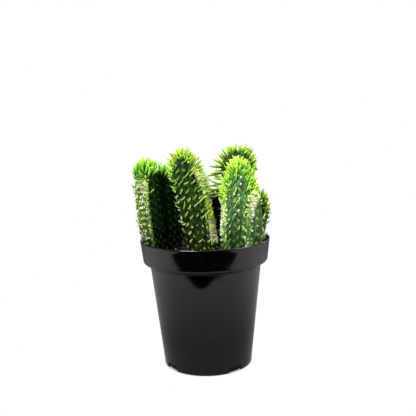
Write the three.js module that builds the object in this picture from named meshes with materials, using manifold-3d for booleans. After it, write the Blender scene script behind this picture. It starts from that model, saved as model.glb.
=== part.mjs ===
// A crested Eve's needle cactus in a round nursery pot. Seven flattened, fan-shaped stems stand in the
// potting mix. Each stem is one body with its low tubercles and its awl-shaped leaves, which crowd along
// the crest. Millimetres, +Z up, the origin on the pot's axis where the pot stands; the front is -Y.

import * as THREE from "three";
import { mergeVertices } from "three/addons/utils/BufferGeometryUtils.js";
import Module from "manifold-3d";

const wasm = await Module();
wasm.setup();

const radians = THREE.MathUtils.degToRad;

// The pot: a tapering wall, a wider rim band above a step, and a raised floor inside a notched foot.
const POT = {
  height: 103,
  rimRadius: 52.5,
  bandRadius: 50.2,
  bandHeight: 18.6,
  bandCorner: 2.5,
  shoulderRadius: 45.2,
  footRadius: 35.8,
  footBevel: 0.5,
  wall: 1.2,
  floorHeight: 3,
  sides: 56,
};
const NOTCH = { count: 4, firstAngle: -54, width: 12, height: 4.6, innerRadius: 27, overshoot: 5 };
const STEP_HEIGHT = POT.height - POT.bandHeight;

// The clearance between any two neighbouring pieces, and the potting mix with its waves.
const GAP = 0.3;
const SOIL = { level: 93, inset: 1.7, wave: 0.55, rings: 6, sides: 28 };

// The stems stand this deep in the mix, and their holes reach this far above its level.
const SINK = 5;
const HOLE_TOP = 4;

// Each fan: where its foot stands, the turn of its width from +X, and the outline that its rays reach.
// half, shoulder and dome shape the crest, drift carries it sideways, slope tips it, and flare says how
// early the rays spread. curl bends the fan in plan. thick and rim are half thicknesses, at the foot and
// below the crest. rays and steps set the lattice of tubercles.
const FANS = {
  fan_left: {
    at: [-34.4, 7.2], turn: 47.5, foot: 15.6, half: 26.6, shoulder: 51, dome: 16, square: 3, drift: -7,
    slope: -0.28, flare: 1.1, thick: 7, rim: 6, curl: -0.0125, rays: 10, steps: 16, seed: 11,
  },
  fan_middle: {
    at: [-0.2, -8], turn: -22, foot: 12.2, half: 14, shoulder: 50.5, dome: 25.2, square: 1.9, drift: -9.8,
    slope: -1, flare: 0.55, thick: 6.6, rim: 5, curl: -0.01, rays: 8, steps: 20, seed: 23,
  },
  fan_back_right: {
    at: [27.2, 13.5], turn: 4, foot: 10, half: 12.4, shoulder: 63.5, dome: 15.5, square: 2.1, drift: 1,
    slope: 0, flare: 0.35, thick: 6.2, rim: 5, curl: -0.008, rays: 8, steps: 20, seed: 37,
  },
  fan_front_right: {
    at: [23.2, -9], turn: 6, foot: 10.5, half: 11.2, shoulder: 44, dome: 25.5, square: 1.7, drift: 4.6,
    slope: 0, flare: 0.4, thick: 6.2, rim: 5, curl: -0.022, rays: 8, steps: 18, seed: 41,
  },
  fan_far_right: {
    at: [40.2, 3], turn: -40, foot: 6, half: 8.3, shoulder: 31, dome: 13, square: 2, drift: 4.8,
    slope: 0, flare: 0.4, thick: 4.6, rim: 4, curl: 0, rays: 6, steps: 11, seed: 53,
  },
  fan_back: {
    at: [6.5, 24], turn: 4, foot: 10, half: 12.5, shoulder: 28.5, dome: 14.5, square: 2.2, drift: 1,
    slope: 0.2, flare: 0.4, thick: 5.8, rim: 4.8, curl: 0, rays: 6, steps: 10, seed: 67,
  },
  fan_front_low: {
    at: [37, -22.6], turn: 34, foot: 6, half: 6, shoulder: 17, dome: 30, square: 1.8, drift: 2.6,
    slope: 0, flare: 0.3, thick: 4, rim: 3.6, curl: 0, rays: 6, steps: 12, seed: 79,
  },
};
const SPREAD = radians(96); // how far the outermost rays turn from upright
const RAY_BUNCHING = 0.35; // how far the rays crowd towards the fan's two edges
const BEND = 0.5; // height share at which a ray turns towards the crest
const ROUNDING = 2.6; // power of the fan's oval section
const RELIEF = 1; // how far a tubercle stands above the valleys round it
const EVEN_REACH = 0.93; // the evenly spaced rows end here, and the crown's rows follow
const CROWN_REACH = [0.955, 0.985, 1];

// The leaves: awls of three sides, widest above a root that is sunk in the stem. A leaf grows only where
// its root shares at least the join volume with the stem, and where it would clear the other pieces if
// it were as much wider and longer as clear says.
const LEAF = { sides: 3, root: 2.2, belly: 0.3, join: 0.03, clear: 1.35, clearLength: 1.08 };
const LEAF_LENGTHS = { shortest: 0.8, spread: 0.35 };
const LEAF_WOBBLE = { front: 0.12, along: 0.15, across: 0.2 };

// The rows of leaves. outward, along and across give a leaf's direction off the face, up the ray and
// towards the fan's edge. spacing is measured along the crest or up the edge, reach and ray say where
// the row roots, and share is the share of the tubercles on a face that bear a leaf.
const CREST_ROW = {
  length: 8.2, radius: 0.85, spacing: 2.8, ray: 0.97, reach: 0.985, outward: 0.25, along: 1, across: 0.35,
};
const EDGE_ROW = {
  length: 5, radius: 0.75, spacing: 7, ray: 0.985, low: 0.24, high: 0.9, wobble: 0.015, outward: 0.5,
  along: 0.7, across: 1,
};
const FACE_ROWS = { length: 4.6, radius: 0.7, share: 0.25, first: 4, outward: 0.8, along: 0.9 };

const FINISH = {
  pot: { color: 0x0b0b0c, roughness: 0.3 },
  soil: { color: 0x1d1712, roughness: 0.95 },
  stem: { color: 0x3f7d33, roughness: 0.5 },
};

// A repeatable stream of numbers from 0 to 1.
function randomStream(seed) {
  let state = seed * 2654435761;
  return () => {
    state = (Math.imul(state ^ (state >>> 15), 2246822519) + 374761393) >>> 0;
    return ((state ^ (state >>> 13)) >>> 0) / 2 ** 32;
  };
}

function toSolid(geometry) {
  const bare = geometry.index ? geometry.toNonIndexed() : geometry.clone();
  bare.deleteAttribute("normal");
  bare.deleteAttribute("uv");
  const merged = mergeVertices(bare, 1e-4);
  return new wasm.Manifold(
    new wasm.Mesh({
      numProp: 3,
      vertProperties: merged.attributes.position.array,
      triVerts: new Uint32Array(merged.index.array),
    }),
  );
}

function toGeometry(solid) {
  const mesh = solid.getMesh();
  const stride = mesh.numProp;
  const places = new Float32Array(mesh.numVert * 3);
  for (let i = 0; i < mesh.numVert; i++) {
    places.set(mesh.vertProperties.subarray(i * stride, i * stride + 3), i * 3);
  }
  const geometry = new THREE.BufferGeometry();
  geometry.setAttribute("position", new THREE.BufferAttribute(places, 3));
  geometry.setIndex(new THREE.BufferAttribute(new Uint32Array(mesh.triVerts), 1));
  geometry.computeVertexNormals();
  return geometry;
}

function closedGeometry(points, faces) {
  const geometry = new THREE.BufferGeometry();
  const places = points.flatMap((point) => point.toArray());
  geometry.setAttribute("position", new THREE.Float32BufferAttribute(places, 3));
  geometry.setIndex(faces.flat());
  return geometry;
}

// The radius of the pot's outer wall below the step, at a height.
function wallRadius(z) {
  return THREE.MathUtils.lerp(POT.footRadius, POT.shoulderRadius, z / STEP_HEIGHT);
}

// The radius of the rim band's outside, at a height.
function bandRadius(z) {
  return THREE.MathUtils.lerp(POT.bandRadius, POT.rimRadius, (z - STEP_HEIGHT) / POT.bandHeight);
}

// The pot's section as [radius, height] pairs: up the outside, over the lip and down the inside.
function potProfile() {
  const { height, rimRadius, bandRadius: band, bandCorner: corner, wall, floorHeight } = POT;
  const footInside = POT.footRadius - wall;
  const floorTop = floorHeight + wall;
  return [
    [0, floorHeight],
    [footInside, floorHeight],
    [footInside, 0],
    [POT.footRadius - POT.footBevel, 0],
    [wallRadius(2 * POT.footBevel), 2 * POT.footBevel],
    [POT.shoulderRadius, STEP_HEIGHT],
    [band - corner, STEP_HEIGHT + 0.1 * corner],
    [band - 0.3 * corner, STEP_HEIGHT + 0.35 * corner],
    [bandRadius(STEP_HEIGHT + corner), STEP_HEIGHT + corner],
    [rimRadius, height - 0.4 * wall],
    [rimRadius - 0.3 * wall, height],
    [rimRadius - 0.7 * wall, height],
    [rimRadius - wall, height - 0.4 * wall],
    [bandRadius(STEP_HEIGHT + corner) - wall, STEP_HEIGHT + corner + 0.5 * wall],
    [band - corner - 0.3 * wall, STEP_HEIGHT + 1.2 * wall],
    [POT.shoulderRadius - 1.2 * wall, STEP_HEIGHT + wall],
    [POT.shoulderRadius - 1.3 * wall, STEP_HEIGHT - wall],
    [wallRadius(floorTop) - wall, floorTop],
    [0, floorTop],
  ];
}

function potSolid() {
  const outline = potProfile().map(([radius, z]) => new THREE.Vector2(radius, z));
  const turned = new THREE.LatheGeometry(outline, POT.sides).rotateX(Math.PI / 2);
  const depth = POT.footRadius + NOTCH.overshoot - NOTCH.innerRadius;
  let pot = toSolid(turned);
  for (let i = 0; i < NOTCH.count; i++) {
    const cutter = new THREE.BoxGeometry(NOTCH.width, depth, 2 * NOTCH.height);
    cutter.translate(0, -NOTCH.innerRadius - depth / 2, 0);
    cutter.rotateZ(radians(NOTCH.firstAngle + (360 / NOTCH.count) * i));
    pot = pot.subtract(toSolid(cutter));
  }
  return pot;
}

// The height of the mix: a few smooth, crossing waves.
function mixHeight(x, y) {
  const broad = Math.sin(0.31 * x + 1.3) * Math.cos(0.27 * y - 0.4);
  const fine = Math.sin(0.53 * (x + y));
  return SOIL.level + SOIL.wave * (broad + 0.6 * fine);
}

// The mix: a wavy top, and a side and a bottom that follow the pot's inside.
function soilSolid() {
  const { rings, sides, inset } = SOIL;
  const bottom = POT.floorHeight + POT.wall + GAP;
  const ledge = STEP_HEIGHT + POT.wall;
  const edge = bandRadius(SOIL.level) - inset;
  const side = [
    [bandRadius(ledge) - inset - GAP, ledge + POT.bandCorner],
    [POT.bandRadius - POT.bandCorner - 3 * GAP, ledge + 3 * GAP],
    [POT.shoulderRadius - inset - GAP, ledge + 2 * GAP],
    [POT.shoulderRadius - inset - 2 * GAP, STEP_HEIGHT - POT.wall],
    [wallRadius(bottom) - inset, bottom],
  ];
  const points = [new THREE.Vector3(0, 0, mixHeight(0, 0))];
  const addRing = (radius, heightAt) => {
    for (let i = 0; i < sides; i++) {
      const angle = (2 * Math.PI * i) / sides;
      const x = radius * Math.cos(angle);
      const y = radius * Math.sin(angle);
      points.push(new THREE.Vector3(x, y, heightAt(x, y)));
    }
  };
  for (let ring = 1; ring <= rings; ring++) addRing((edge * ring) / rings, mixHeight);
  side.forEach(([radius, height]) => addRing(radius, () => height));
  points.push(new THREE.Vector3(0, 0, bottom));
  const faces = [];
  const last = rings + side.length;
  const at = (ring, i) => 1 + (ring - 1) * sides + (i % sides);
  for (let i = 0; i < sides; i++) {
    faces.push([0, at(1, i), at(1, i + 1)]);
    for (let ring = 1; ring < last; ring++) {
      faces.push([at(ring, i), at(ring + 1, i), at(ring + 1, i + 1)]);
      faces.push([at(ring, i), at(ring + 1, i + 1), at(ring, i + 1)]);
    }
    faces.push([points.length - 1, at(last, i + 1), at(last, i)]);
  }
  return toSolid(closedGeometry(points, faces));
}

function signedPower(value, power) {
  return Math.sign(value) * Math.abs(value) ** power;
}

// Where ray u, from -1 to 1, meets the crest, in the fan's own plane.
function crestPoint(fan, u) {
  const x = fan.half * signedPower(Math.sin(SPREAD * u), 2 / fan.square);
  const y = fan.dome * signedPower(Math.cos(SPREAD * u), 2 / fan.square);
  return [fan.drift + x, fan.shoulder + y + fan.slope * x];
}

// The fan's middle surface: ray u, and reach v from the foot at 0 to the crest at 1.
function middle(fan, u, v) {
  const [crestAcross, crestUp] = crestPoint(fan, u);
  const footAcross = u * fan.foot;
  const bendAcross = footAcross + (crestAcross - footAcross) * fan.flare;
  const bendUp = -SINK + (crestUp + SINK) * BEND;
  const [start, bend, end] = [(1 - v) ** 2, 2 * v * (1 - v), v ** 2];
  const across = start * footAcross + bend * bendAcross + end * crestAcross;
  const up = -start * SINK + bend * bendUp + end * crestUp;
  const out = fan.curl * across ** 2;
  const [cos, sin] = [Math.cos(radians(fan.turn)), Math.sin(radians(fan.turn))];
  return new THREE.Vector3(
    fan.at[0] + across * cos - out * sin,
    fan.at[1] + across * sin + out * cos,
    SOIL.level + up,
  );
}

// Unit vectors on the middle surface: up the ray, across the rays, and out of the front face.
function directions(fan, u, v) {
  const nudge = 1e-3;
  const along = middle(fan, u, v + nudge).sub(middle(fan, u, v - nudge)).normalize();
  const across = middle(fan, u + nudge, v).sub(middle(fan, u - nudge, v)).normalize();
  const front = new THREE.Vector3().crossVectors(across, along).normalize();
  return { along, across, front };
}

// Half the fan's thickness: oval from edge to edge, and rounded over at the crest.
function halfThickness(fan, u, v) {
  const [crestAcross, crestUp] = crestPoint(fan, u);
  const length = Math.hypot(crestAcross - u * fan.foot, crestUp + SINK);
  const plain = THREE.MathUtils.lerp(fan.thick, fan.rim, v);
  const crownStart = 1 - plain / length;
  const crown = THREE.MathUtils.clamp((v - crownStart) / (1 - crownStart), 0, 1);
  const section = Math.max(0, 1 - Math.abs(u) ** ROUNDING) ** (1 / ROUNDING);
  return plain * Math.sqrt(1 - crown ** 2) * section;
}

// A place on the fan's skin: side is 1 on the front face and -1 on the back.
function skin(fan, u, v, side, lift = 0) {
  const { front } = directions(fan, u, v);
  return middle(fan, u, v).addScaledVector(front, side * (halfThickness(fan, u, v) + lift));
}

function rayAt(fan, k) {
  const even = (2 * k) / fan.rays - 1;
  return THREE.MathUtils.lerp(even, -Math.cos((Math.PI * k) / fan.rays), RAY_BUNCHING);
}

function reachAt(fan, row) {
  return row < fan.steps ? (row / fan.steps) * EVEN_REACH : CROWN_REACH[row - fan.steps];
}

// A corner of the lattice stands up as a tubercle, or lies in a valley.
function isTubercle(k, row) {
  return (k + row) % 2 === 0;
}

function tubercleRelief(k, row) {
  return isTubercle(k, row) ? RELIEF / 2 : -RELIEF / 2;
}

// The fan's body: rings from foot to crest, with the last ring closed on the crest line. Each square of
// the lattice is split along its two valleys. relief lifts the faces, and widen moves the edges out.
function fanBody(fan, relief = tubercleRelief, widen = 0) {
  const { rays } = fan;
  const rows = fan.steps + CROWN_REACH.length;
  const ring = 2 * rays;
  const points = [];
  for (let row = 0; row < rows; row++) {
    const v = reachAt(fan, row);
    for (let i = 0; i < ring; i++) {
      const k = i <= rays ? i : ring - i;
      const u = rayAt(fan, k);
      if (row === rows - 1) {
        points.push(middle(fan, u, v));
      } else if (k === 0 || k === rays) {
        const level = directions(fan, u, v).across.setZ(0).normalize();
        points.push(middle(fan, u, v).addScaledVector(level, u * widen));
      } else {
        points.push(skin(fan, u, v, i < rays ? 1 : -1, relief(k, row)));
      }
      if (row === 0) points.at(-1).z = SOIL.level - SINK;
    }
  }
  const foot = points.push(middle(fan, 0, 0)) - 1;
  const faces = [];
  for (let row = 0; row < rows - 1; row++) {
    for (let i = 0; i < ring; i++) {
      const next = (i + 1) % ring;
      const [a, b] = [row * ring + i, row * ring + next];
      const [c, d] = [(row + 1) * ring + i, (row + 1) * ring + next];
      faces.push(...(isTubercle(i, row) ? [[a, b, c], [b, d, c]] : [[a, b, d], [a, d, c]]));
    }
  }
  for (let i = 0; i < ring; i++) faces.push([foot, (i + 1) % ring, i]);
  return toSolid(closedGeometry(points, faces));
}

// The plug that cuts a plain hole in the mix for the fan's foot.
function footHole(fan) {
  const plug = fanBody(fan, () => RELIEF / 2 + 2 * GAP, 3 * GAP);
  return plug.trimByPlane([0, 0, -1], -(SOIL.level + HOLE_TOP)).translate([0, 0, -GAP]);
}

// One awl-shaped leaf from a root below the skin to its point, made wider and longer by two factors.
function leafSolid({ place, direction, length, radius }, widen = 1, lengthen = 1) {
  const { sides, root, belly } = LEAF;
  const across = new THREE.Vector3(0.3, 0.5, 0.8).cross(direction).normalize();
  const other = new THREE.Vector3().crossVectors(direction, across);
  const bellyCentre = place.clone().addScaledVector(direction, length * belly);
  const points = [place.clone().addScaledVector(direction, -root)];
  for (let i = 0; i < sides; i++) {
    const angle = (2 * Math.PI * i) / sides;
    const corner = bellyCentre.clone().addScaledVector(across, radius * widen * Math.cos(angle));
    points.push(corner.addScaledVector(other, radius * widen * Math.sin(angle)));
  }
  points.push(place.clone().addScaledVector(direction, length * lengthen));
  const tip = sides + 1;
  const faces = [];
  for (let i = 0; i < sides; i++) {
    const [a, b] = [1 + i, 1 + ((i + 1) % sides)];
    faces.push([0, b, a], [tip, a, b]);
  }
  return toSolid(closedGeometry(points, faces));
}

// A function that adds a leaf of a row to a list: at ray u and reach v, off the front or the back face.
function leafPlanter(fan, random, leaves) {
  const wobble = (amount) => (random() * 2 - 1) * amount;
  return (row, u, v, side, outward, across) => {
    const frame = directions(fan, u, v);
    const direction = new THREE.Vector3()
      .addScaledVector(frame.front, side * outward + wobble(LEAF_WOBBLE.front))
      .addScaledVector(frame.along, row.along + wobble(LEAF_WOBBLE.along))
      .addScaledVector(frame.across, across + wobble(LEAF_WOBBLE.across))
      .normalize();
    const length = row.length * (LEAF_LENGTHS.shortest + LEAF_LENGTHS.spread * random());
    leaves.push({ place: skin(fan, u, v, side), direction, length, radius: row.radius });
  };
}

function crestLength(fan) {
  const pieces = 40;
  const along = (i) => middle(fan, (2 * i) / pieces - 1, 1);
  let length = 0;
  for (let i = 0; i < pieces; i++) length += along(i).distanceTo(along(i + 1));
  return length;
}

// Every leaf of a fan: one row on each side of the crest, one down each edge, and some on both faces.
function leavesOf(fan) {
  const random = randomStream(fan.seed);
  const leaves = [];
  const plant = leafPlanter(fan, random, leaves);
  const crestCount = 2 * Math.round(crestLength(fan) / CREST_ROW.spacing);
  for (let i = 0; i <= crestCount; i++) {
    const u = (2 * i) / crestCount - 1;
    const side = i % 2 ? -1 : 1;
    plant(CREST_ROW, u * CREST_ROW.ray, CREST_ROW.reach, side, CREST_ROW.outward, u * CREST_ROW.across);
  }
  const edgeCount = Math.round(fan.shoulder / EDGE_ROW.spacing);
  for (let i = 0; i < edgeCount; i++) {
    for (const end of [-1, 1]) {
      const v = THREE.MathUtils.lerp(EDGE_ROW.low, EDGE_ROW.high, (i + 0.5) / edgeCount);
      const shift = (random() * 2 - 1) * EDGE_ROW.wobble;
      const outward = (random() * 2 - 1) * EDGE_ROW.outward;
      plant(EDGE_ROW, end * EDGE_ROW.ray, v + shift, 1, outward, end * EDGE_ROW.across);
    }
  }
  for (let row = FACE_ROWS.first; row < fan.steps; row++) {
    for (let k = 1; k < fan.rays; k++) {
      for (const side of [1, -1]) {
        if (!isTubercle(k, row) || random() > FACE_ROWS.share) continue;
        plant(FACE_ROWS, rayAt(fan, k), reachAt(fan, row), side, FACE_ROWS.outward, 0);
      }
    }
  }
  return leaves;
}

// A fan with the leaves that stay clear of everything already in place. Only its outer shell is kept, so
// that crossing leaves seal no hollow between them.
function leafyFan(fan, body, neighbours) {
  const grown = [];
  for (const leaf of leavesOf(fan)) {
    const wide = leafSolid(leaf, LEAF.clear, LEAF.clearLength);
    const isClear = neighbours.every((solid) => wide.intersect(solid).isEmpty());
    const solid = leafSolid(leaf);
    if (isClear && solid.intersect(body).volume() > LEAF.join) grown.push(solid);
  }
  const shells = wasm.Manifold.union([body, ...grown]).decompose();
  return shells.sort((a, b) => b.volume() - a.volume())[0];
}

function namedMesh(name, solid, finish) {
  const mesh = new THREE.Mesh(toGeometry(solid), new THREE.MeshStandardMaterial({ ...finish, metalness: 0 }));
  mesh.name = name;
  return mesh;
}

const pot = potSolid();
const soil = Object.values(FANS).reduce((mix, fan) => mix.subtract(footHole(fan)), soilSolid());
const bodies = Object.values(FANS).map((fan) => fanBody(fan));

const cactus = new THREE.Group();
cactus.add(namedMesh("pot", pot, FINISH.pot));
cactus.add(namedMesh("soil", soil, FINISH.soil));
const finished = [];
Object.entries(FANS).forEach(([name, fan], i) => {
  const others = bodies.filter((body) => body !== bodies[i]);
  const stem = leafyFan(fan, bodies[i], [pot, soil, ...others, ...finished]);
  finished.push(stem);
  cactus.add(namedMesh(name, stem, FINISH.stem));
});

export default cactus;
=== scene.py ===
"""A crested Eve's needle cactus in a glossy black nursery pot.

Sizes are millimetres until a mesh is made, where they become metres. The front is -Y.
"""

import itertools
import math
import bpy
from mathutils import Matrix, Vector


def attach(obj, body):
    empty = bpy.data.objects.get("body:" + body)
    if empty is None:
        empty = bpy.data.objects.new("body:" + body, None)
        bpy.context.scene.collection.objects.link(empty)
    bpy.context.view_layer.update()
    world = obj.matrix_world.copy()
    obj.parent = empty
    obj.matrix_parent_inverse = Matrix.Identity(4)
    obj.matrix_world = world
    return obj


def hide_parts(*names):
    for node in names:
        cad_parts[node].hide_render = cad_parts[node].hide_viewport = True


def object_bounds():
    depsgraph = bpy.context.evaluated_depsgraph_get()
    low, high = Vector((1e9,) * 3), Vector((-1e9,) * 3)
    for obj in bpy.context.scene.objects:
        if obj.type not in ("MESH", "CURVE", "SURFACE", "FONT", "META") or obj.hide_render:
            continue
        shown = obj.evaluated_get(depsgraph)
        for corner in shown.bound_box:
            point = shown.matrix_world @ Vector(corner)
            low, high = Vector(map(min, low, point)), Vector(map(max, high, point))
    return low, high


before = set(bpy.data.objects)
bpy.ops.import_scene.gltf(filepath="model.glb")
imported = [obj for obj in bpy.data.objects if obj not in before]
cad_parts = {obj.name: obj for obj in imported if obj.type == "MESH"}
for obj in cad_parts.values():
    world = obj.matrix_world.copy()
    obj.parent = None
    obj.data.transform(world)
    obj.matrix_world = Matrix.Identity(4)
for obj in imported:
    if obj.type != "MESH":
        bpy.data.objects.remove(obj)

from types import SimpleNamespace

import bpy
import numpy as np
from mathutils import Matrix, Vector
from mathutils.bvhtree import BVHTree

CAD_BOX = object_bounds()
MM = 0.001
RNG = np.random.default_rng(2027)

# The pot and the mix, as in the part.
POT_HEIGHT = 103.0
RIM_RADIUS = 52.5
BAND_RADIUS = 50.2
BAND_HEIGHT = 18.6
BAND_CORNER = 2.5
SHOULDER_RADIUS = 45.2
FOOT_RADIUS = 35.8
WALL = 1.2
FLOOR_HEIGHT = 3.0
STEP_HEIGHT = POT_HEIGHT - BAND_HEIGHT
NOTCH_ANGLES = (-54, 36, 126, 216)
NOTCH_WIDTH = 12.0
NOTCH_HEIGHT = 4.6
NOTCH_INNER = 27.0
NOTCH_OVERSHOOT = 5.0
SOIL_LEVEL = 93.0
SOIL_INSET = 1.7
SOIL_WAVE = 0.55
GAP = 0.3
SINK = 5.0

# What is finer than in the part. The mix's lumps are in radians a millimetre, with their heights.
POT_SEGMENTS = 256
INNER_EDGE = 0.4
FOOT_EDGE = 0.45
SOIL_RINGS = 60
SOIL_SEGMENTS = 180
LUMPS = ((1.1, 0.35), (2.3, 0.22), (4.1, 0.12))
LUMP_SHARE = 0.6
GRAIN_COUNT = 1500
GRAIN_SIZES = (0.35, 1.25)

# The fans. Their form is as in the part: at and turn place a fan, foot and half are half its width at the
# foot and the crest, shoulder and dome the height of the crest's ends and middle, square, drift and slope
# the crest's form, flare how far the rays spread by halfway, thick and rim half the thickness, and curl
# how far the sides curve back. The rest are the looks:
# tone: the colours of its skin and leaves, of which the darker tones are in part painted shade
# pale, ray, start: how far the skin pales on the left and right margins, and from which ray and row on
# crown, corner: how far it pales on the crown's left and right sides, and along the left front corner
# crest: the rays between which crowded leaves grow, their spacing, least and greatest length, and rise
# left, right: the rows between which a margin bears leaves, and the same four values for those
# face, back, top: the share of areoles that bear a leaf, on each face and just below the crest
# lie: how far a face's leaves point out, up and to the right
# forward: how far the front's crowded leaves lean forward
# wool, beads and the tufts' shade: the share of areoles with a full tuft, how many more areoles stand on
# the left and right margins, and how far the front's tufts are darkened towards green as painted shade
PLAIN_FAN = dict(
    slope=0, curl=0, pale=(0, 0), ray=0.72, start=0.1, crown=(0, 0), corner=0, wool=0.3, beads=(0, 0))
FAN_VALUES = {
    "fan_left": dict(
        at=(-34.4, 7.2), turn=47.5, foot=15.6, half=26.6, shoulder=51, dome=16, square=3, drift=-7,
        slope=-0.28, flare=1.1, thick=7, rim=6, curl=-0.0125,
        tone="dark", pale=(0.45, 0), ray=0.7, corner=1,
        crest=(-0.86, 0.95, 2.0, 5.5, 8.5, 1.1), top=0.12,
        left=(0.12, 0.98, 1.5, 2, 3.4, 1.2), right=(0.5, 0.95, 6, 3, 5, 0.5), face=0.02, back=0.3,
        lie=(0.6, 0.6, 0.2), forward=0.5, beads=(2.4, 0), dim=0.95),
    "fan_middle": dict(
        at=(-0.2, -8), turn=-22, foot=12.2, half=14, shoulder=50.5, dome=25.2, square=1.9, drift=-9.8,
        slope=-1, flare=0.55, thick=6.6, rim=5, curl=-0.01,
        tone="olive", pale=(0, 0.8), ray=0.66, start=0.25, crown=(0, 0.9),
        crest=(-0.8, 0.7, 1.9, 3.6, 6, 0.35), top=0.75,
        left=(0.35, 1, 6, 4.5, 6.8, 0.4), right=(0.26, 1, 1.5, 2, 3.6, 1.3), face=0.85, back=0.35,
        lie=(0.35, 0.35, 0.85), forward=0.8, wool=0.18, beads=(0, 1.8), dim=0.3),
    "fan_back_right": dict(
        at=(27.2, 13.5), turn=4, foot=10, half=12.4, shoulder=63.5, dome=15.5, square=2.1, drift=1,
        flare=0.35, thick=6.2, rim=5, curl=-0.008,
        tone="deep", pale=(0, 0.3),
        crest=(-0.7, 0.95, 1.9, 4.6, 7.4, 0.45), top=0.15,
        left=(0.63, 1, 3.2, 9, 14, 0.05), right=(0.3, 1, 2.4, 3.6, 5.8, 0.8), face=0.2, back=0.5,
        lie=(0.6, 0.6, 0), forward=0.25, beads=(0, 0.8), dim=0.4),
    "fan_front_right": dict(
        at=(23.2, -9), turn=6, foot=10.5, half=11.2, shoulder=44, dome=25.5, square=1.7, drift=4.6,
        flare=0.4, thick=6.2, rim=5, curl=-0.022,
        tone="fresh", pale=(0.8, 0.15), ray=0.68, start=0.25,
        crest=(-0.9, 0.9, 2.1, 5, 8, 1.4), top=0.6,
        left=(0.26, 0.97, 1.5, 2.4, 4.2, 2.2), right=(0.55, 1, 2.6, 4, 6.4, 2), face=0.42, back=0.4,
        lie=(0.3, 1, 0.4), forward=0.6, wool=0.28, beads=(1.3, 0), dim=0),
    "fan_far_right": dict(
        at=(40.2, 3), turn=-40, foot=6, half=8.3, shoulder=31, dome=13, square=2, drift=4.8,
        flare=0.4, thick=4.6, rim=4,
        tone="deep", pale=(0, 0.15),
        crest=(-0.9, 0.95, 2.6, 4, 6.4, 0.4), top=0.5,
        left=(0.4, 1, 5, 3, 5, 0.6), right=(0.2, 1, 3.4, 3.6, 6, 0.6), face=0.45, back=0.5,
        lie=(0.6, 0.6, 0.2), forward=0.6, beads=(0, 0.3), dim=0.4),
    "fan_back": dict(
        at=(6.5, 24), turn=4, foot=10, half=12.5, shoulder=28.5, dome=14.5, square=2.2, drift=1,
        slope=0.2, flare=0.4, thick=5.8, rim=4.8,
        tone="shade",
        crest=(-0.9, 0.9, 2.4, 3.4, 6, 0.4), top=0.6,
        left=(0.4, 1, 6, 3, 4.5, 0.6), right=(0.4, 1, 6, 3, 4.5, 0.6), face=0.5, back=0.4,
        lie=(0.6, 0.6, 0), forward=0.6, dim=0.7),
    "fan_front_low": dict(
        at=(37, -22.6), turn=34, foot=6, half=6, shoulder=17, dome=30, square=1.8, drift=2.6,
        flare=0.3, thick=4, rim=3.6,
        tone="pale", ray=0.5, start=0.4, crown=(1, 0),
        crest=(-0.6, 0.3, 2.6, 2.2, 3.8, 0.6), top=0.2,
        left=(0.9, 1, 9, 1.6, 2.8, 1.6), right=(0.3, 1, 5, 2.6, 4, 0.9), face=0.15, back=0.3,
        lie=(0.4, 0.9, 0.2), forward=0.5, wool=0.25, dim=0),
}
FANS = {name: SimpleNamespace(**{**PLAIN_FAN, **values}) for name, values in FAN_VALUES.items()}
SPREAD = math.radians(96)
BEND = 0.5
ROUNDING = 2.6
NUDGE = 1e-3

# The skin: its mesh step, the share of its mesh rows below the crown, and the crown's share of the row w.
SKIN_STEP = 0.62
BODY_ROWS = 0.8
CROWN = 0.12

# The lattice of tubercles: its spacing round the fan, and up it at the foot and the crest. A tubercle's
# reach and an areole's stray are in cells, and the lowest areoles stand so far over the mix.
COLUMN_SPACING = 4.3
ROW_SPACING = (6.6, 4.2)
TUBERCLE_HEIGHT = 1.15
VALLEY = -0.45
TUBERCLE_WIDTH = 0.66
TUBERCLE_BELOW = 1.0
TUBERCLE_ABOVE = 0.42
AREOLE_STRAY = 0.16
LOWEST_AREOLE = 1.5

# Where the skin pales: over how many rays and rows it sets in, and the place and width of the left front
# corner, as angles round the section.
PALE_RAYS = 0.26
PALE_ROWS = 0.35
LEFT_CORNER = math.pi - 0.5
CORNER_WIDTH = 0.15

# The leaves. An awl's girth is listed from its sunk root to its point. The crowded leaves stand at these
# degrees round the crown, from the face to the crest. A face's lengths are for its lower and upper leaves,
# and the radii for the oldest and the youngest. A margin's leaves that can grow longer than LONG_LEAF stand
# straight out. Each leaf is clear of other pieces for REACH times its length.
AWL_STATIONS = (-0.16, 0.1, 0.34, 0.6, 0.82, 0.94)
AWL_GIRTH = (0.55, 0.92, 1, 0.9, 0.62, 0.34)
AWL_SIDES = 6
AWL_FLATNESS = 0.85
AWL_ROOT = 1.2
CREST_ANGLES = (12, 50, 84)
FACE_LENGTHS = (3.3, 5.6)
LEAF_RADII = (0.58, 0.8)
LONG_LEAF = 8
REACH = 1.1

# The areoles: the rings of a woolly tuft as girth and lift, its radius low and high on the fan, its hairs,
# its spines, and how many areoles crowd a pale crown, the left corner and, by their spacing, a margin.
TUFT_RINGS = ((0.85, -0.5), (1, 0.05), (0.72, 0.5))
TUFT_SIDES = 8
TUFT_STRETCH = 1.7
TUFT_RADII = (0.64, 0.52)
HAIRS = 7
HAIR_RADIUS = 0.11
HAIR_LENGTHS = (0.9, 1.9)
SPINES = 2
SPINE_RADIUS = 0.13
SPINE_LENGTHS = (2.0, 3.6)
CROWN_BEADS = 50
CORNER_BEADS = 24
BEAD_SPACING = 2.6

# The camera in metres, degrees and pixels, and the lights: place, aim, size in metres, and power.
CAMERA_PLACE = (0, -0.47891, 0.19368)
CAMERA_PITCH = 7.92
CAMERA_YAW = 0.38
CAMERA_ROLL = 1.65
FOCAL_PIXELS = 598.9
FRAME_PIXELS = 416
SENSOR_WIDTH = 36
LIGHTS = {
    "key": ((-0.35, -0.45, 0.8), (0, 0, 0.13), (0.35, 0.35), 16),
    "fill": ((0.6, -0.15, 0.55), (0, 0, 0.14), (0.4, 0.4), 5),
    "back": ((0.1, 0.7, 0.6), (0, 0, 0.13), (0.5, 0.4), 9),
}

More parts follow.
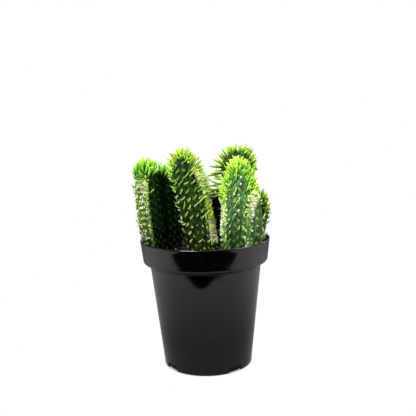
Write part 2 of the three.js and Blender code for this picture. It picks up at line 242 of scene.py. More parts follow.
# The dark card in front of the pot: the edge that the pot reflects, and its far corners, in metres.
CARD_EDGE = (
    (-0.6, -0.1), (-0.23, -0.141), (-0.1, -0.167), (-0.033, -0.172),
    (0.05, -0.189), (0.12, -0.174), (0.21, -0.155), (0.6, -0.11),
)
CARD_ENDS = ((0.9, -2), (-0.9, -2))


def ease(low, high, value):
    t = np.clip((value - low) / (high - low), 0, 1)
    return t * t * (3 - 2 * t)


def unit(vectors):
    return vectors / np.maximum(np.linalg.norm(vectors, axis=-1, keepdims=True), 1e-9)


def mix(low, high, t):
    return low + (high - low) * t


# Meshes


def new_object(name, data):
    made = bpy.data.objects.new(name, data)
    bpy.context.scene.collection.objects.link(made)
    return made


def mesh_object(name, corners, faces):
    """An object from corners in metres."""
    mesh = bpy.data.meshes.new(name)
    mesh.from_pydata(corners, [], faces)
    return new_object(name, mesh)


def add_piece(name, verts, faces, material, values=None):
    """A piece of the body, from points in millimetres and named values at them."""
    corners = (np.asarray(verts) * MM).tolist()
    piece = mesh_object(name, corners, [list(map(int, face)) for face in faces])
    mesh = piece.data
    for key, value in (values or {}).items():
        layer = mesh.attributes.new(key, "FLOAT", "POINT")
        layer.data.foreach_set("value", np.asarray(value, dtype=np.float32))
    mesh.shade_smooth()
    mesh.materials.append(material)
    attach(piece, "root")
    return piece


def full_turn(count):
    return np.linspace(0, 2 * np.pi, count, endpoint=False)


def circles(radii, segments):
    """Grids of x and y on circles about Z."""
    angles = full_turn(segments)
    return np.outer(radii, np.cos(angles)), np.outer(radii, np.sin(angles))


def grid_faces(rows, columns):
    """Quads between the rows of a grid whose columns run round once."""
    r, c = np.meshgrid(np.arange(rows - 1), np.arange(columns), indexing="ij")
    a, b = r * columns + c, r * columns + (c + 1) % columns
    return np.stack([a, b, b + columns, a + columns], -1).reshape(-1, 4)


def capped_faces(rows, columns):
    """The same, closed by two more points: one at the first row and one at the last."""
    faces = grid_faces(rows, columns).tolist()
    top, first = (rows - 1) * columns, rows * columns
    for i in range(columns):
        j = (i + 1) % columns
        faces.append([first, j, i])
        faces.append([first + 1, top + i, top + j])
    return faces


def revolved(pairs, segments):
    """The points of (radius, height) pairs turned about Z."""
    radii, heights = np.array(pairs).T
    x, y = circles(radii, segments)
    return np.stack([x, y, np.broadcast_to(heights[:, None], x.shape)], -1).reshape(-1, 3)


def turned(profile, segments):
    """A closed body from (radius, height) pairs of which the first and the last lie on the axis."""
    ends = [(0, 0, height) for _, height in (profile[0], profile[-1])]
    return np.vstack([revolved(profile[1:-1], segments), *ends]), capped_faces(len(profile) - 2, segments)


def spindle_faces(rings, sides):
    """Triangles of a closed spindle: rings of points, then the point above them and the one below."""
    faces = []
    for r in range(rings - 1):
        for i in range(sides):
            a, b = r * sides + i, r * sides + (i + 1) % sides
            faces += [[a, b, b + sides], [a, b + sides, a + sides]]
    top, above = (rings - 1) * sides, rings * sides
    for i in range(sides):
        j = (i + 1) % sides
        faces += [[top + i, top + j, above], [j, i, above + 1]]
    return faces


def copies(points, faces):
    """One mesh of many small shapes. points has a row for each shape, with all its corners."""
    count, corners, _ = points.shape
    faces = np.array(faces)[None] + (np.arange(count) * corners)[:, None, None]
    return points.reshape(-1, 3), faces.reshape(-1, 3)


def side_vectors(aims):
    """Two unit vectors at right angles to each aim and to each other."""
    helper = np.where(np.abs(aims[:, 2:]) > 0.9, (1, 0, 0), (0, 0, 1))
    side = unit(np.cross(aims, helper))
    return side, np.cross(aims, side)


# The fans' shape


def signed(value, power):
    return np.sign(value) * np.abs(value) ** power


def whole_height(fan):
    return fan.shoulder + fan.dome + SINK


def crest_point(fan, u):
    x = fan.half * signed(np.sin(SPREAD * u), 2 / fan.square)
    y = fan.dome * signed(np.cos(SPREAD * u), 2 / fan.square)
    return fan.drift + x, fan.shoulder + y + fan.slope * x


def in_plane(fan, u, v):
    """The place of ray u at reach v in the fan's own plane: across it, and up from the mix."""
    crest_across, crest_up = crest_point(fan, u)
    foot_across = u * fan.foot
    bend_across = foot_across + (crest_across - foot_across) * fan.flare
    bend_up = -SINK + (crest_up + SINK) * BEND
    start, bend, end = (1 - v) ** 2, 2 * v * (1 - v), v ** 2
    across = start * foot_across + bend * bend_across + end * crest_across
    return across, -start * SINK + bend * bend_up + end * crest_up


def middle(fan, u, v):
    """The fan's middle surface: ray u, and reach v from the foot at 0 to the crest at 1."""
    across, up = in_plane(fan, u, v)
    out = fan.curl * across ** 2
    cos, sin = math.cos(math.radians(fan.turn)), math.sin(math.radians(fan.turn))
    x = fan.at[0] + across * cos - out * sin
    y = fan.at[1] + across * sin + out * cos
    return np.stack([x, y, SOIL_LEVEL + up], -1)


def directions(fan, u, v):
    """Unit vectors up the ray, across it to the right, and out of the front."""
    along = unit(middle(fan, u, v + NUDGE) - middle(fan, u, v - NUDGE))
    bearing = math.radians(fan.turn) + np.arctan(2 * fan.curl * in_plane(fan, u, v)[0])
    front = np.stack([np.sin(bearing), -np.cos(bearing), np.zeros_like(bearing)], -1)
    return along, np.cross(along, front), front


def section(phi):
    """Ray and thickness factors round the fan's oval section: phi 0 is one edge and pi the other."""
    return signed(np.cos(phi), 2 / ROUNDING), signed(np.sin(phi), 2 / ROUNDING)


def edge_angle(side, turn):
    """The angle that lies by a turn off the section's left edge or, for side 1, off its right edge."""
    return np.mod((0 if side > 0 else np.pi) + turn, 2 * np.pi)


def reach(fan, u, w):
    """The reach v and the crown's thinning at row w, from 0 at the foot to 1 on the crest."""
    crest_across, crest_up = crest_point(fan, u)
    start = 1 - fan.rim / np.hypot(crest_across - u * fan.foot, crest_up + SINK)
    turn = np.clip((w - 1 + CROWN) / CROWN, 0, 1) * np.pi / 2
    v = np.where(w < 1 - CROWN, start * w / (1 - CROWN), start + (1 - start) * np.sin(turn))
    return v, np.cos(turn)


def skin(fan, phi, w):
    """Points on the fan's smooth skin."""
    u, thickness = section(phi)
    v, thinning = reach(fan, u, w)
    front = directions(fan, u, v)[2]
    half = mix(fan.thick, fan.rim, v) * thickness * thinning
    return middle(fan, u, v) + front * half[..., None]


def skin_normal(fan, phi, w):
    nudge = 2 * NUDGE
    low = np.clip(w - nudge, 0, 1 - 2 * nudge)
    up = skin(fan, phi, low + nudge) - skin(fan, phi, low)
    around = skin(fan, phi + nudge, w) - skin(fan, phi - nudge, w)
    return unit(np.cross(up, around))


# The lattice of tubercles


def lattice(fan):
    """Tables that turn the angle phi and the row w into column and row numbers of the lattice."""
    phi = np.linspace(0, 2 * np.pi, 721)
    u, thickness = section(phi)
    x, y = u * (fan.foot + fan.half) / 2, thickness * fan.thick
    along = np.concatenate([[0], np.cumsum(np.hypot(np.diff(x), np.diff(y)))])
    columns = 2 * round(along[-1] / COLUMN_SPACING / 2)
    w = np.linspace(0, 1, 400)
    spacing = mix(*ROW_SPACING, ease(0.3, 1, w))
    row = np.concatenate([[0], np.cumsum(whole_height(fan) / spacing[1:] * np.diff(w))])
    return SimpleNamespace(phi=phi, column=along / along[-1] * columns, columns=columns, w=w, row=row)


def tubercle_height(net, phi, w):
    """The relief, and how near each point is to an areole, from 0 to 1."""
    column = np.interp(phi % (2 * np.pi), net.phi, net.column)
    row = np.interp(w, net.w, net.row)
    height = np.full(np.shape(phi), VALLEY)
    near = np.zeros(np.shape(phi))
    for column_step, row_step in itertools.product((-1, 0, 1), repeat=2):
        c = np.round(column) + column_step
        stagger = 0.5 * (np.mod(c, net.columns) % 2)
        x = column - c
        y = row - (np.round(row - stagger) + row_step + stagger)
        side = np.clip(1 - (x / TUBERCLE_WIDTH) ** 2, 0, 1) ** 1.3
        lower = ease(-TUBERCLE_BELOW, 0.05, y)
        upper = 1 - ease(0.05, TUBERCLE_ABOVE, y)
        height = np.maximum(height, mix(VALLEY, TUBERCLE_HEIGHT + VALLEY, side * lower * upper))
        near = np.maximum(near, np.exp(-(x ** 2 / 0.05 + y ** 2 / 0.02)))
    fade = ease(0, 0.08, w) * (1 - 0.75 * ease(0.9, 1, w))
    return height * fade, near


def areole_places(fan, net):
    """The lattice's nodes as phi and w, a little out of line."""
    first = np.interp((SINK + LOWEST_AREOLE) / whole_height(fan), net.w, net.row)
    last = net.row[-1] * (1 - 0.6 * CROWN)
    phis, ws = [], []
    for c in range(net.columns):
        rows = np.arange(math.ceil(first), math.floor(last) + 1) + 0.5 * (c % 2)
        rows = rows + RNG.uniform(-AREOLE_STRAY, AREOLE_STRAY, len(rows))
        columns = (c + RNG.uniform(-AREOLE_STRAY, AREOLE_STRAY, len(rows))) % net.columns
        phis += np.interp(columns, net.column, net.phi).tolist()
        ws += np.interp(rows, net.row, net.w).tolist()
    return np.array(phis), np.array(ws)


def pale_skin(fan, phi, u, w):
    """How pale the skin is on the margins, the crown's sides and the left front corner."""
    left, right = fan.pale
    full = fan.ray + PALE_RAYS
    margin = left * ease(fan.ray, full, -u) + right * ease(fan.ray, full, u)
    corner = fan.corner * np.exp(-((phi - LEFT_CORNER) / CORNER_WIDTH) ** 2)
    low = np.maximum(margin, corner) * ease(fan.start, fan.start + PALE_ROWS, w)
    left, right = fan.crown
    side = left * ease(0, 0.3, -u) * ease(-0.72, -0.45, u)
    side = side + right * ease(0, 0.35, u)
    return np.maximum(low, side * ease(0.8, 0.9, w))


def end_faces(rows, columns):
    """The faces that close the skin's grid: one across the foot, and a strip along the crest."""
    faces = [list(range(columns))[::-1]]
    top, half = (rows - 1) * columns, columns // 2
    for i in range(half):
        a, b = top + i, top + i + 1
        c, d = top + (columns - i - 1) % columns, top + (columns - i) % columns
        if i == 0:
            faces.append([a, b, c])
        elif i == half - 1:
            faces.append([a, b, d])
        else:
            faces.append([a, b, c, d])
    return faces


def fan_skin(fan, net):
    """The fan's skin as points, faces and values at the points."""
    columns = 2 * round((fan.foot + fan.half + fan.thick) / SKIN_STEP)
    rows = round(whole_height(fan) / SKIN_STEP)
    phi = full_turn(columns)
    w = np.interp(np.linspace(0, 1, rows), (0, BODY_ROWS, 1), (0, 1 - CROWN, 1))
    phi, w = np.meshgrid(phi, w[:-1])
    relief, near = tubercle_height(net, phi, w)
    points = skin(fan, phi, w) + skin_normal(fan, phi, w) * relief[..., None]
    pale = pale_skin(fan, phi, section(phi)[0], w)
    # The first value is the row's height share, which darkens the skin towards the foot as painted shade.
    values = dict(shade_height=w, pale=pale, relief=relief / TUBERCLE_HEIGHT, near=near)
    values = {key: value.ravel() for key, value in values.items()}
    faces = grid_faces(rows - 1, columns).tolist() + end_faces(rows - 1, columns)
    return points.reshape(-1, 3), faces, values


# Leaves, hairs, spines and tufts


def awls(roots, aims, lengths, radii, bends):
    """Awl-shaped leaves as one mesh: points, triangles, and each point's share of the length and leaf."""
    aims = unit(aims)
    side, other = side_vectors(aims)
    points, shares = [], []
    for station, girth in zip(AWL_STATIONS, AWL_GIRTH):
        share = max(station, 0)
        centre = roots + (aims * station + bends * share ** 2) * lengths[:, None]
        for a in full_turn(AWL_SIDES):
            offset = side * math.cos(a) + other * math.sin(a) * AWL_FLATNESS
            points.append(centre + offset * (radii * girth)[:, None])
            shares.append(share)
    points.append(roots + (aims + bends) * lengths[:, None])
    points.append(roots + aims * (AWL_STATIONS[0] * AWL_ROOT) * lengths[:, None])
    shares += [1, 0]
    verts, faces = copies(np.stack(points, 1), spindle_faces(len(AWL_STATIONS), AWL_SIDES))
    return verts, faces, np.tile(shares, len(roots)), np.repeat(np.arange(len(roots)), len(shares))


def cones(roots, aims, lengths, radius):
    """Hairs and spines: closed three-sided cones."""
    aims = unit(aims)
    side, other = side_vectors(aims)
    points = [roots + (x * side + y * other) * radius for x, y in ((1, 0), (-0.5, 0.87), (-0.5, -0.87))]
    points.append(roots + aims * lengths[:, None])
    return copies(np.stack(points, 1), [[0, 1, 3], [1, 2, 3], [2, 0, 3], [0, 2, 1]])


def tufts(places, normals, along, radii):
    """Woolly areoles: small uneven domes, longer up the ray than across it."""
    side = unit(np.cross(normals, along))
    other = np.cross(normals, side)
    points = []
    for girth, lift in TUFT_RINGS:
        for i in range(TUFT_SIDES):
            a = 2 * math.pi * i / TUFT_SIDES
            wobble = radii * girth * RNG.uniform(0.78, 1.15, len(places))
            rise = radii * lift * RNG.uniform(0.8, 1.2, len(places))
            across, up = math.cos(a) * wobble, math.sin(a) * wobble * TUFT_STRETCH
            points.append(places + (side * across[:, None] + other * up[:, None]) + normals * rise[:, None])
    points.append(places + normals * (radii * 0.72)[:, None])
    points.append(places - normals * (radii * 0.6)[:, None])
    return copies(np.stack(points, 1), spindle_faces(len(TUFT_RINGS), TUFT_SIDES))


# Materials


def set_inputs(tree, made, inputs):
    """Links each input of a node, or sets it where the value is plain."""
    for key, value in inputs.items():
        if isinstance(value, bpy.types.NodeSocket):
            tree.links.new(value, made.inputs[key])
        else:
            made.inputs[key].default_value = value


def painted(name, look, *colours):
    """A material whose look gives the inputs of its shader."""
    material = bpy.data.materials.new(name)
    material.use_nodes = True
    tree = material.node_tree
    set_inputs(tree, tree.nodes["Principled BSDF"], look(tree, *colours))
    return material


def node(tree, kind, inputs=None, **settings):
    made = tree.nodes.new(kind)
    for key, value in settings.items():
        setattr(made, key, value)
    set_inputs(tree, made, inputs or {})
    return made


def attribute(tree, name):
    return node(tree, "ShaderNodeAttribute", attribute_name=name).outputs["Fac"]


def blend(tree, factor, low, high, kind="MIX"):
    """A mix of two colours. The colours of the Mix node are its inputs 6 and 7 and its output 2."""
    low, high = (c if isinstance(c, bpy.types.NodeSocket) else (*c, 1) for c in (low, high))
    inputs = {0: factor, 6: low, 7: high}
    return node(tree, "ShaderNodeMix", inputs, data_type="RGBA", blend_type=kind).outputs[2]


def remap(tree, value, low, high, to_low=0, to_high=1):
    inputs = {"Value": value, "From Min": low, "From Max": high, "To Min": to_low, "To Max": to_high}
    return node(tree, "ShaderNodeMapRange", inputs).outputs["Result"]


def product(tree, one, other):
    return node(tree, "ShaderNodeMath", {0: one, 1: other}, operation="MULTIPLY").outputs[0]


def noise(tree, scale, detail, roughness=0.55, stretch=None, lean=0):
    """Noise of so many features a metre. stretch draws it out along Z, which leans to the right."""
    where = node(tree, "ShaderNodeTexCoord").outputs["Object"]
    if stretch:
        inputs = {"Vector": where, "Rotation": (0, lean, 0), "Scale": (1, 1, stretch)}
        where = node(tree, "ShaderNodeMapping", inputs, vector_type="TEXTURE").outputs["Vector"]
    inputs = {"Vector": where, "Scale": scale, "Detail": detail, "Roughness": roughness}
    return node(tree, "ShaderNodeTexNoise", inputs).outputs["Fac"]


def bump(tree, height, strength, distance):
    inputs = {"Height": height, "Strength": strength, "Distance": distance}
    return node(tree, "ShaderNodeBump", inputs).outputs["Normal"]


# A fan's colours: its skin from the foot up to the crest, then its pale parts; a leaf's root and point, and
# an older leaf. The tones differ partly in the fans' own colour and partly by painted shade: dark, shade,
# olive and deep are darkened for the fans that stand in shade, dark and shade the most, and every skin's
# darker foot is painted shade. streak is how far light streaks mark the skin, dot how far it pales round an
# areole, and shine its specular level.
TONES = {
    "dark": SimpleNamespace(
        low=(0.001, 0.004, 0.001), mid=(0.001, 0.017, 0.002), top=(0.004, 0.042, 0.004),
        pale=(0.5, 0.76, 0.17), leaf=(0.1, 0.34, 0.015), tip=(0.38, 0.72, 0.06), old=(0.24, 0.42, 0.08),
        streak=0.12, dot=0.1, shine=0.04),
    "shade": SimpleNamespace(
        low=(0.002, 0.004, 0.0015), mid=(0.003, 0.007, 0.0025), top=(0.005, 0.013, 0.003),
        pale=(0.1, 0.13, 0.05), leaf=(0.012, 0.035, 0.006), tip=(0.1, 0.18, 0.03), old=(0.16, 0.19, 0.08),
        streak=0.12, dot=0.2, shine=0.05),
    "olive": SimpleNamespace(
        low=(0.003, 0.007, 0.001), mid=(0.017, 0.062, 0.006), top=(0.025, 0.095, 0.028),
        pale=(0.8, 0.82, 0.34), leaf=(0.2, 0.38, 0.02), tip=(0.44, 0.66, 0.05), old=(0.76, 0.7, 0.28),
        streak=0.12, dot=0.3, shine=0.06),
    "deep": SimpleNamespace(
        low=(0.006, 0.016, 0.004), mid=(0.008, 0.03, 0.007), top=(0.008, 0.036, 0.006),
        pale=(0.3, 0.42, 0.11), leaf=(0.13, 0.31, 0.012), tip=(0.42, 0.65, 0.04), old=(0.44, 0.57, 0.15),
        streak=0.12, dot=0.3, shine=0.1),
    "fresh": SimpleNamespace(
        low=(0.012, 0.03, 0.008), mid=(0.13, 0.29, 0.1), top=(0.14, 0.36, 0.09),
        pale=(0.25, 0.36, 0.12), leaf=(0.2, 0.5, 0.025), tip=(0.6, 0.88, 0.1), old=(0.52, 0.7, 0.26),
        streak=0.4, dot=0.3, shine=0.15),
    "pale": SimpleNamespace(
        low=(0.012, 0.03, 0.009), mid=(0.11, 0.26, 0.06), top=(0.12, 0.3, 0.05),
        pale=(0.34, 0.41, 0.17), leaf=(0.28, 0.46, 0.08), tip=(0.7, 0.85, 0.3), old=(0.66, 0.7, 0.42),
        streak=0.3, dot=0.3, shine=0.15),
}


def skin_look(tree, tone):
    # Painted shade: the skin darkens from its mid to its low colour towards the foot, and turns to its top
    # colour towards the crest.
    shade_height = attribute(tree, "shade_height")
    colour = blend(tree, remap(tree, shade_height, 0.15, 0.55), tone.low, tone.mid)
    colour = blend(tree, remap(tree, shade_height, 0.62, 0.97), colour, tone.top)
    streak = noise(tree, 480, 4, 0.6, stretch=4, lean=0.4)
    colour = blend(tree, remap(tree, streak, 0.45, 0.65, 0, tone.streak), colour, tone.leaf)
    colour = blend(tree, remap(tree, streak, 0.38, 0.55, 0.75, 0), colour, tone.low)
    colour = blend(tree, remap(tree, noise(tree, 160, 3), 0.42, 0.6, 0.35, 0), colour, tone.low)
    colour = blend(tree, attribute(tree, "pale"), colour, tone.pale)
    # Painted shade: the skin darkens in the hollows between the tubercles.
    valley_shade = remap(tree, attribute(tree, "relief"), -0.35, 0.35, 0.85, 0)
    colour = blend(tree, valley_shade, colour, (0.14, 0.2, 0.12), "MULTIPLY")
    near = remap(tree, attribute(tree, "near"), 0.3, 1, 0, tone.dot)
    fine = noise(tree, 2600, 2)
    return {
        "Base Color": blend(tree, near, colour, tone.pale),
        "Roughness": remap(tree, fine, 0.3, 0.7, 0.42, 0.58),
        "Normal": bump(tree, fine, 0.25, 0.0001),
        "Specular IOR Level": tone.shine,
        "Subsurface Weight": 0.08,
        "Subsurface Radius": (0.5, 1, 0.25),
        "Subsurface Scale": 0.001,
    }


def leaf_look(tree, tone):
    share, young, tint = (attribute(tree, key) for key in ("share", "young", "tint"))
    # A leaf runs from its root colour to its brighter point: in part its own colour, and in part painted
    # shade at the root and painted light towards the point.
    colour = blend(tree, remap(tree, share, 0.1, 0.8), tone.leaf, tone.tip)
    colour = blend(tree, remap(tree, young, 0, 0.7, 0.75, 0), colour, tone.old)
    shaded = blend(tree, 0.75, colour, tone.leaf, "MULTIPLY")
    colour = blend(tree, remap(tree, tint, 0.45, 1, 0, 0.95), colour, shaded)
    return {
        "Base Color": blend(tree, remap(tree, share, 0.92, 1, 0, 0.5), colour, (0.62, 0.5, 0.16)),
        "Roughness": remap(tree, noise(tree, 3000, 2), 0.3, 0.7, 0.3, 0.48),
        "Subsurface Weight": 0.3,
        "Subsurface Radius": (0.7, 1, 0.2),
        "Subsurface Scale": 0.0015,
    }


def wool_look(tree):
    bright = remap(tree, noise(tree, 420, 2), 0.3, 0.52)
    colour = blend(tree, bright, (0.84, 0.79, 0.46), (0.97, 0.98, 0.8))
    # The tufts are darkened towards green as painted shade where they stand in shade.
    return {
        "Base Color": blend(tree, attribute(tree, "dim"), colour, (0.02, 0.045, 0.016)),
        "Normal": bump(tree, noise(tree, 9000, 3), 0.6, 0.0002),
        "Roughness": 0.95,
        "Sheen Weight": 0.3,
    }


def spine_look(tree):
    colour = blend(tree, noise(tree, 300, 2), (0.5, 0.36, 0.16), (0.85, 0.78, 0.55))
    return {"Base Color": colour, "Roughness": 0.4}


def pot_look(tree):
    dust = remap(tree, noise(tree, 900, 5, 0.7), 0.62, 0.78)
    patches = remap(tree, noise(tree, 45, 3), 0.5, 0.68)
    dusty = remap(tree, product(tree, dust, patches), 0, 1, 0, 0.3)
    return {
        "Base Color": blend(tree, dusty, (0.001, 0.001, 0.0013), (0.3, 0.29, 0.27)),
        "Roughness": remap(tree, noise(tree, 120, 6, 0.6, stretch=4), 0.35, 0.7, 0.05, 0.14),
        "Normal": bump(tree, noise(tree, 700, 2), 0.12, 0.00008),
    }


def soil_look(tree):
    crumbs = remap(tree, noise(tree, 520, 8, 0.75), 0.36, 0.68)
    return {
        "Base Color": blend(tree, crumbs, (0.001, 0.0008, 0.0006), (0.022, 0.014, 0.008)),
        "Normal": bump(tree, noise(tree, 1100, 8, 0.75), 1, 0.0018),
        "Specular IOR Level": 0.05,
        "Roughness": 0.95,
    }


def grain_look(tree):
    tint = attribute(tree, "tint")
    colour = blend(tree, remap(tree, tint, 0.35, 0.75), (0.004, 0.0025, 0.0015), (0.07, 0.04, 0.018))
    colour = blend(tree, remap(tree, tint, 0.91, 0.93), colour, (0.5, 0.47, 0.4))
    mottled = remap(tree, noise(tree, 1400, 3), 0.35, 0.7, 0.35, 0)
    return {
        "Base Color": blend(tree, mottled, colour, (0.1, 0.08, 0.06), "MULTIPLY"),
        "Normal": bump(tree, noise(tree, 2500, 4), 0.6, 0.0004),
        "Specular IOR Level": 0.1,
        "Roughness": 0.9,
    }


# The pot and the mix


def wall_radius(z):
    return mix(FOOT_RADIUS, SHOULDER_RADIUS, z / STEP_HEIGHT)


def band_radius(z):
    return mix(BAND_RADIUS, RIM_RADIUS, (z - STEP_HEIGHT) / BAND_HEIGHT)


def arc(centre, radius, start, end, steps):
    """Points on an arc of the section, by angles in degrees from outward, turning up."""
    angles = np.radians(np.linspace(start, end, steps))
    return [(centre[0] + radius * math.cos(a), centre[1] + radius * math.sin(a)) for a in angles]


def pot_profile():
    """The pot's section, from under its floor round the foot, up the outside and down the inside."""
    step = STEP_HEIGHT
    foot_inside = FOOT_RADIUS - WALL
    floor_top = FLOOR_HEIGHT + WALL
    corner = (band_radius(step + BAND_CORNER) - BAND_CORNER, step + BAND_CORNER)
    lip = (RIM_RADIUS - WALL / 2, POT_HEIGHT - WALL / 2)
    inner = (corner[0] - WALL / 2, corner[1] + WALL / 2)
    return [
        (0, FLOOR_HEIGHT),
        (foot_inside - INNER_EDGE, FLOOR_HEIGHT),
        (foot_inside, FLOOR_HEIGHT - INNER_EDGE),
        (foot_inside, 0.15),
        (foot_inside + 0.15, 0),
        (FOOT_RADIUS - FOOT_EDGE, 0),
        *arc((FOOT_RADIUS - FOOT_EDGE, 0.55), 0.5, -80, 5, 5),
        *[(wall_radius(z), z) for z in np.linspace(1.6, step - 2.2, 24)],
        (wall_radius(step - 1.95) + 0.4, step - 1.95),
        (wall_radius(step - 1.2) + 0.17, step - 1.2),
        (SHOULDER_RADIUS + 0.05, step - 0.35),
        (SHOULDER_RADIUS + 0.45, step),
        *arc(corner, BAND_CORNER, -88, 0, 9),
        *[(band_radius(z), z) for z in np.linspace(step + 4, POT_HEIGHT - 1.2, 6)],
        *arc(lip, WALL / 2, 0, 180, 9),
        (band_radius(step + 6) - WALL, step + 6),
        *arc(inner, BAND_CORNER - WALL / 2, 0, -80, 5),
        (SHOULDER_RADIUS - WALL + INNER_EDGE, step + WALL),
        (SHOULDER_RADIUS - WALL, step + WALL - INNER_EDGE),
        (wall_radius(floor_top + 1) - WALL, floor_top + 1),
        (wall_radius(floor_top) - 1.5 * WALL, floor_top),
        (0, floor_top),
    ]


def notch_cutter(angle):
    """A box that cuts one drainage notch. It reaches as far below the pot's foot as above it."""
    depth = FOOT_RADIUS + NOTCH_OVERSHOOT - NOTCH_INNER
    spans = [(-half * MM, half * MM) for half in (NOTCH_WIDTH / 2, depth / 2, NOTCH_HEIGHT)]
    faces = [(0, 1, 3, 2), (4, 6, 7, 5), (0, 4, 5, 1), (2, 3, 7, 6), (0, 2, 6, 4), (1, 5, 7, 3)]
    cutter = mesh_object("notch", list(itertools.product(*spans)), faces)
    place = Matrix.Translation((0, -(NOTCH_INNER + depth / 2) * MM, 0))
    cutter.data.transform(Matrix.Rotation(math.radians(angle), 4, "Z") @ place)
    return cutter


def cut_notches(pot):
    """Cuts the drainage notches through the foot ring and the edge of the floor."""
    cutters = [notch_cutter(angle) for angle in NOTCH_ANGLES]
    for cutter in cutters:
        cut = pot.modifiers.new("notch", "BOOLEAN")
        cut.operation = "DIFFERENCE"
        cut.solver = "EXACT"
        cut.object = cutter
    graph = bpy.context.evaluated_depsgraph_get()
    mesh = bpy.data.meshes.new_from_object(pot.evaluated_get(graph))
    pot.modifiers.clear()
    pot.data = mesh
    for cutter in cutters:
        bpy.data.objects.remove(cutter)
    mesh.shade_smooth()
    mesh.set_sharp_from_angle(angle=math.radians(40))


def make_pot():
    verts, faces = turned(pot_profile(), POT_SEGMENTS)
    pot = add_piece("nursery_pot", verts, faces, painted("black_plastic", pot_look))
    cut_notches(pot)
    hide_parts("pot")


def mix_height(x, y):
    """The smooth waves of the mix, as in the part."""
    broad = np.sin(0.31 * x + 1.3) * np.cos(0.27 * y - 0.4)
    return SOIL_LEVEL + SOIL_WAVE * (broad + 0.6 * np.sin(0.53 * (x + y)))


def lumps(x, y):
    """Crumbly unevenness of the mix, in millimetres."""
    total = np.zeros_like(x)
    for scale, height in LUMPS:
        turn = scale * 1.7
        total += height * np.sin(scale * (x * math.cos(turn) + y * math.sin(turn)) + turn)
        total += height * np.cos(scale * (y * math.cos(turn) - x * math.sin(turn)) * 1.2)
    return total * LUMP_SHARE


def make_soil():
    edge = band_radius(SOIL_LEVEL) - SOIL_INSET + 0.2
    bottom = FLOOR_HEIGHT + WALL + GAP
    ledge = STEP_HEIGHT + WALL
    side = [
        (band_radius(ledge) - SOIL_INSET - GAP, ledge + BAND_CORNER),
        (BAND_RADIUS - BAND_CORNER - 3 * GAP, ledge + 3 * GAP),
        (SHOULDER_RADIUS - SOIL_INSET - GAP, ledge + 2 * GAP),
        (wall_radius(bottom) - SOIL_INSET, bottom),
    ]
    radii = np.concatenate([np.linspace(edge / SOIL_RINGS, edge, SOIL_RINGS), [r for r, _ in side]])
    x, y = circles(radii, SOIL_SEGMENTS)
    z = mix_height(x, y) + lumps(x, y)
    for i, (_, height) in enumerate(side):
        z[SOIL_RINGS + i] = height
    verts = np.stack([x, y, z], -1).reshape(-1, 3)
    verts = np.vstack([verts, (0, 0, mix_height(0, 0)), (0, 0, bottom)])
    faces = [face[::-1] for face in capped_faces(len(radii), SOIL_SEGMENTS)]
    soil = add_piece("potting_mix", verts, faces, painted("potting_mix", soil_look))
    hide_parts("soil")


def icosahedron():
    """The twelve corners of a regular icosahedron of radius 1, and its twenty faces."""
    golden = (1 + 5 ** 0.5) / 2
    corners = [(s, t * golden, 0) for s in (-1, 1) for t in (-1, 1)]
    corners = unit(np.array([c[k:] + c[:k] for c in corners for k in range(3)], dtype=float))
    faces = []
    for i, j, k in itertools.combinations(range(12), 3):
        a, b, c = corners[[i, j, k]]
        if max(np.linalg.norm(a - b), np.linalg.norm(b - c), np.linalg.norm(a - c)) < 1.2:
            faces.append((i, j, k) if np.dot(np.cross(b - a, c - a), a) > 0 else (i, k, j))
    return corners, faces


def make_grains():
    """Bark crumbs, grit and perlite lying on the mix: uneven twelve-cornered stones."""
    corners, faces = icosahedron()
    count = GRAIN_COUNT
    edge = band_radius(SOIL_LEVEL) - SOIL_INSET - 1.2
    radius = edge * np.sqrt(RNG.uniform(0, 1, count))
    angle = RNG.uniform(0, 2 * np.pi, count)
    x, y = radius * np.cos(angle), radius * np.sin(angle)
    size = RNG.uniform(*GRAIN_SIZES, count) * np.where(RNG.uniform(0, 1, count) > 0.9, 1.5, 1)
    z = mix_height(x, y) + lumps(x, y) + size * 0.25
    stretch = RNG.uniform(0.6, 1.3, (count, 1, 3)) * (1, 1, 0.75)
    rough = RNG.uniform(0.75, 1.2, (count, 12, 1))
    points = corners[None] * rough * stretch * size[:, None, None] + np.stack([x, y, z], -1)[:, None]
    tint = np.repeat(RNG.uniform(0, 1, count), 12)
    points, faces = copies(points, faces)
    grains = add_piece("grains", points, faces, painted("grains", grain_look), {"tint": tint})
    grains.data.set_sharp_from_angle(angle=math.radians(25))


# The cactus


def tree_of(verts, faces):
    return BVHTree.FromPolygons(np.asarray(verts).tolist(), [list(face) for face in faces])


def clear_leaves(roots, aims, lengths, trees):
    """Which leaves don't meet another piece."""
    clear = []
    for root, aim, length in zip(roots, aims, lengths):
        start, ray = Vector(root), Vector(aim).normalized()
        clear.append(all(tree.ray_cast(start, ray, length * REACH)[0] is None for tree in trees))
    return np.array(clear)


def outward(fan, u, v, front):
    """The direction in the fan's own surface that leaves the crest, or a margin, at a right angle."""
    along, across, _ = directions(fan, u, np.clip(v, 0.01, 0.99))
    crest = unit(middle(fan, u + NUDGE, v) - middle(fan, u - NUDGE, v))
    off_margin = across * np.sign(u)[:, None]
    off_crest = unit(np.cross(front, crest))
    inward = np.sum(off_crest * (along + off_margin), -1) < 0
    off_crest = off_crest * np.where(inward, -1, 1)[:, None]
    return unit(mix(off_margin, off_crest, ease(0.9, 1, v)[:, None]))


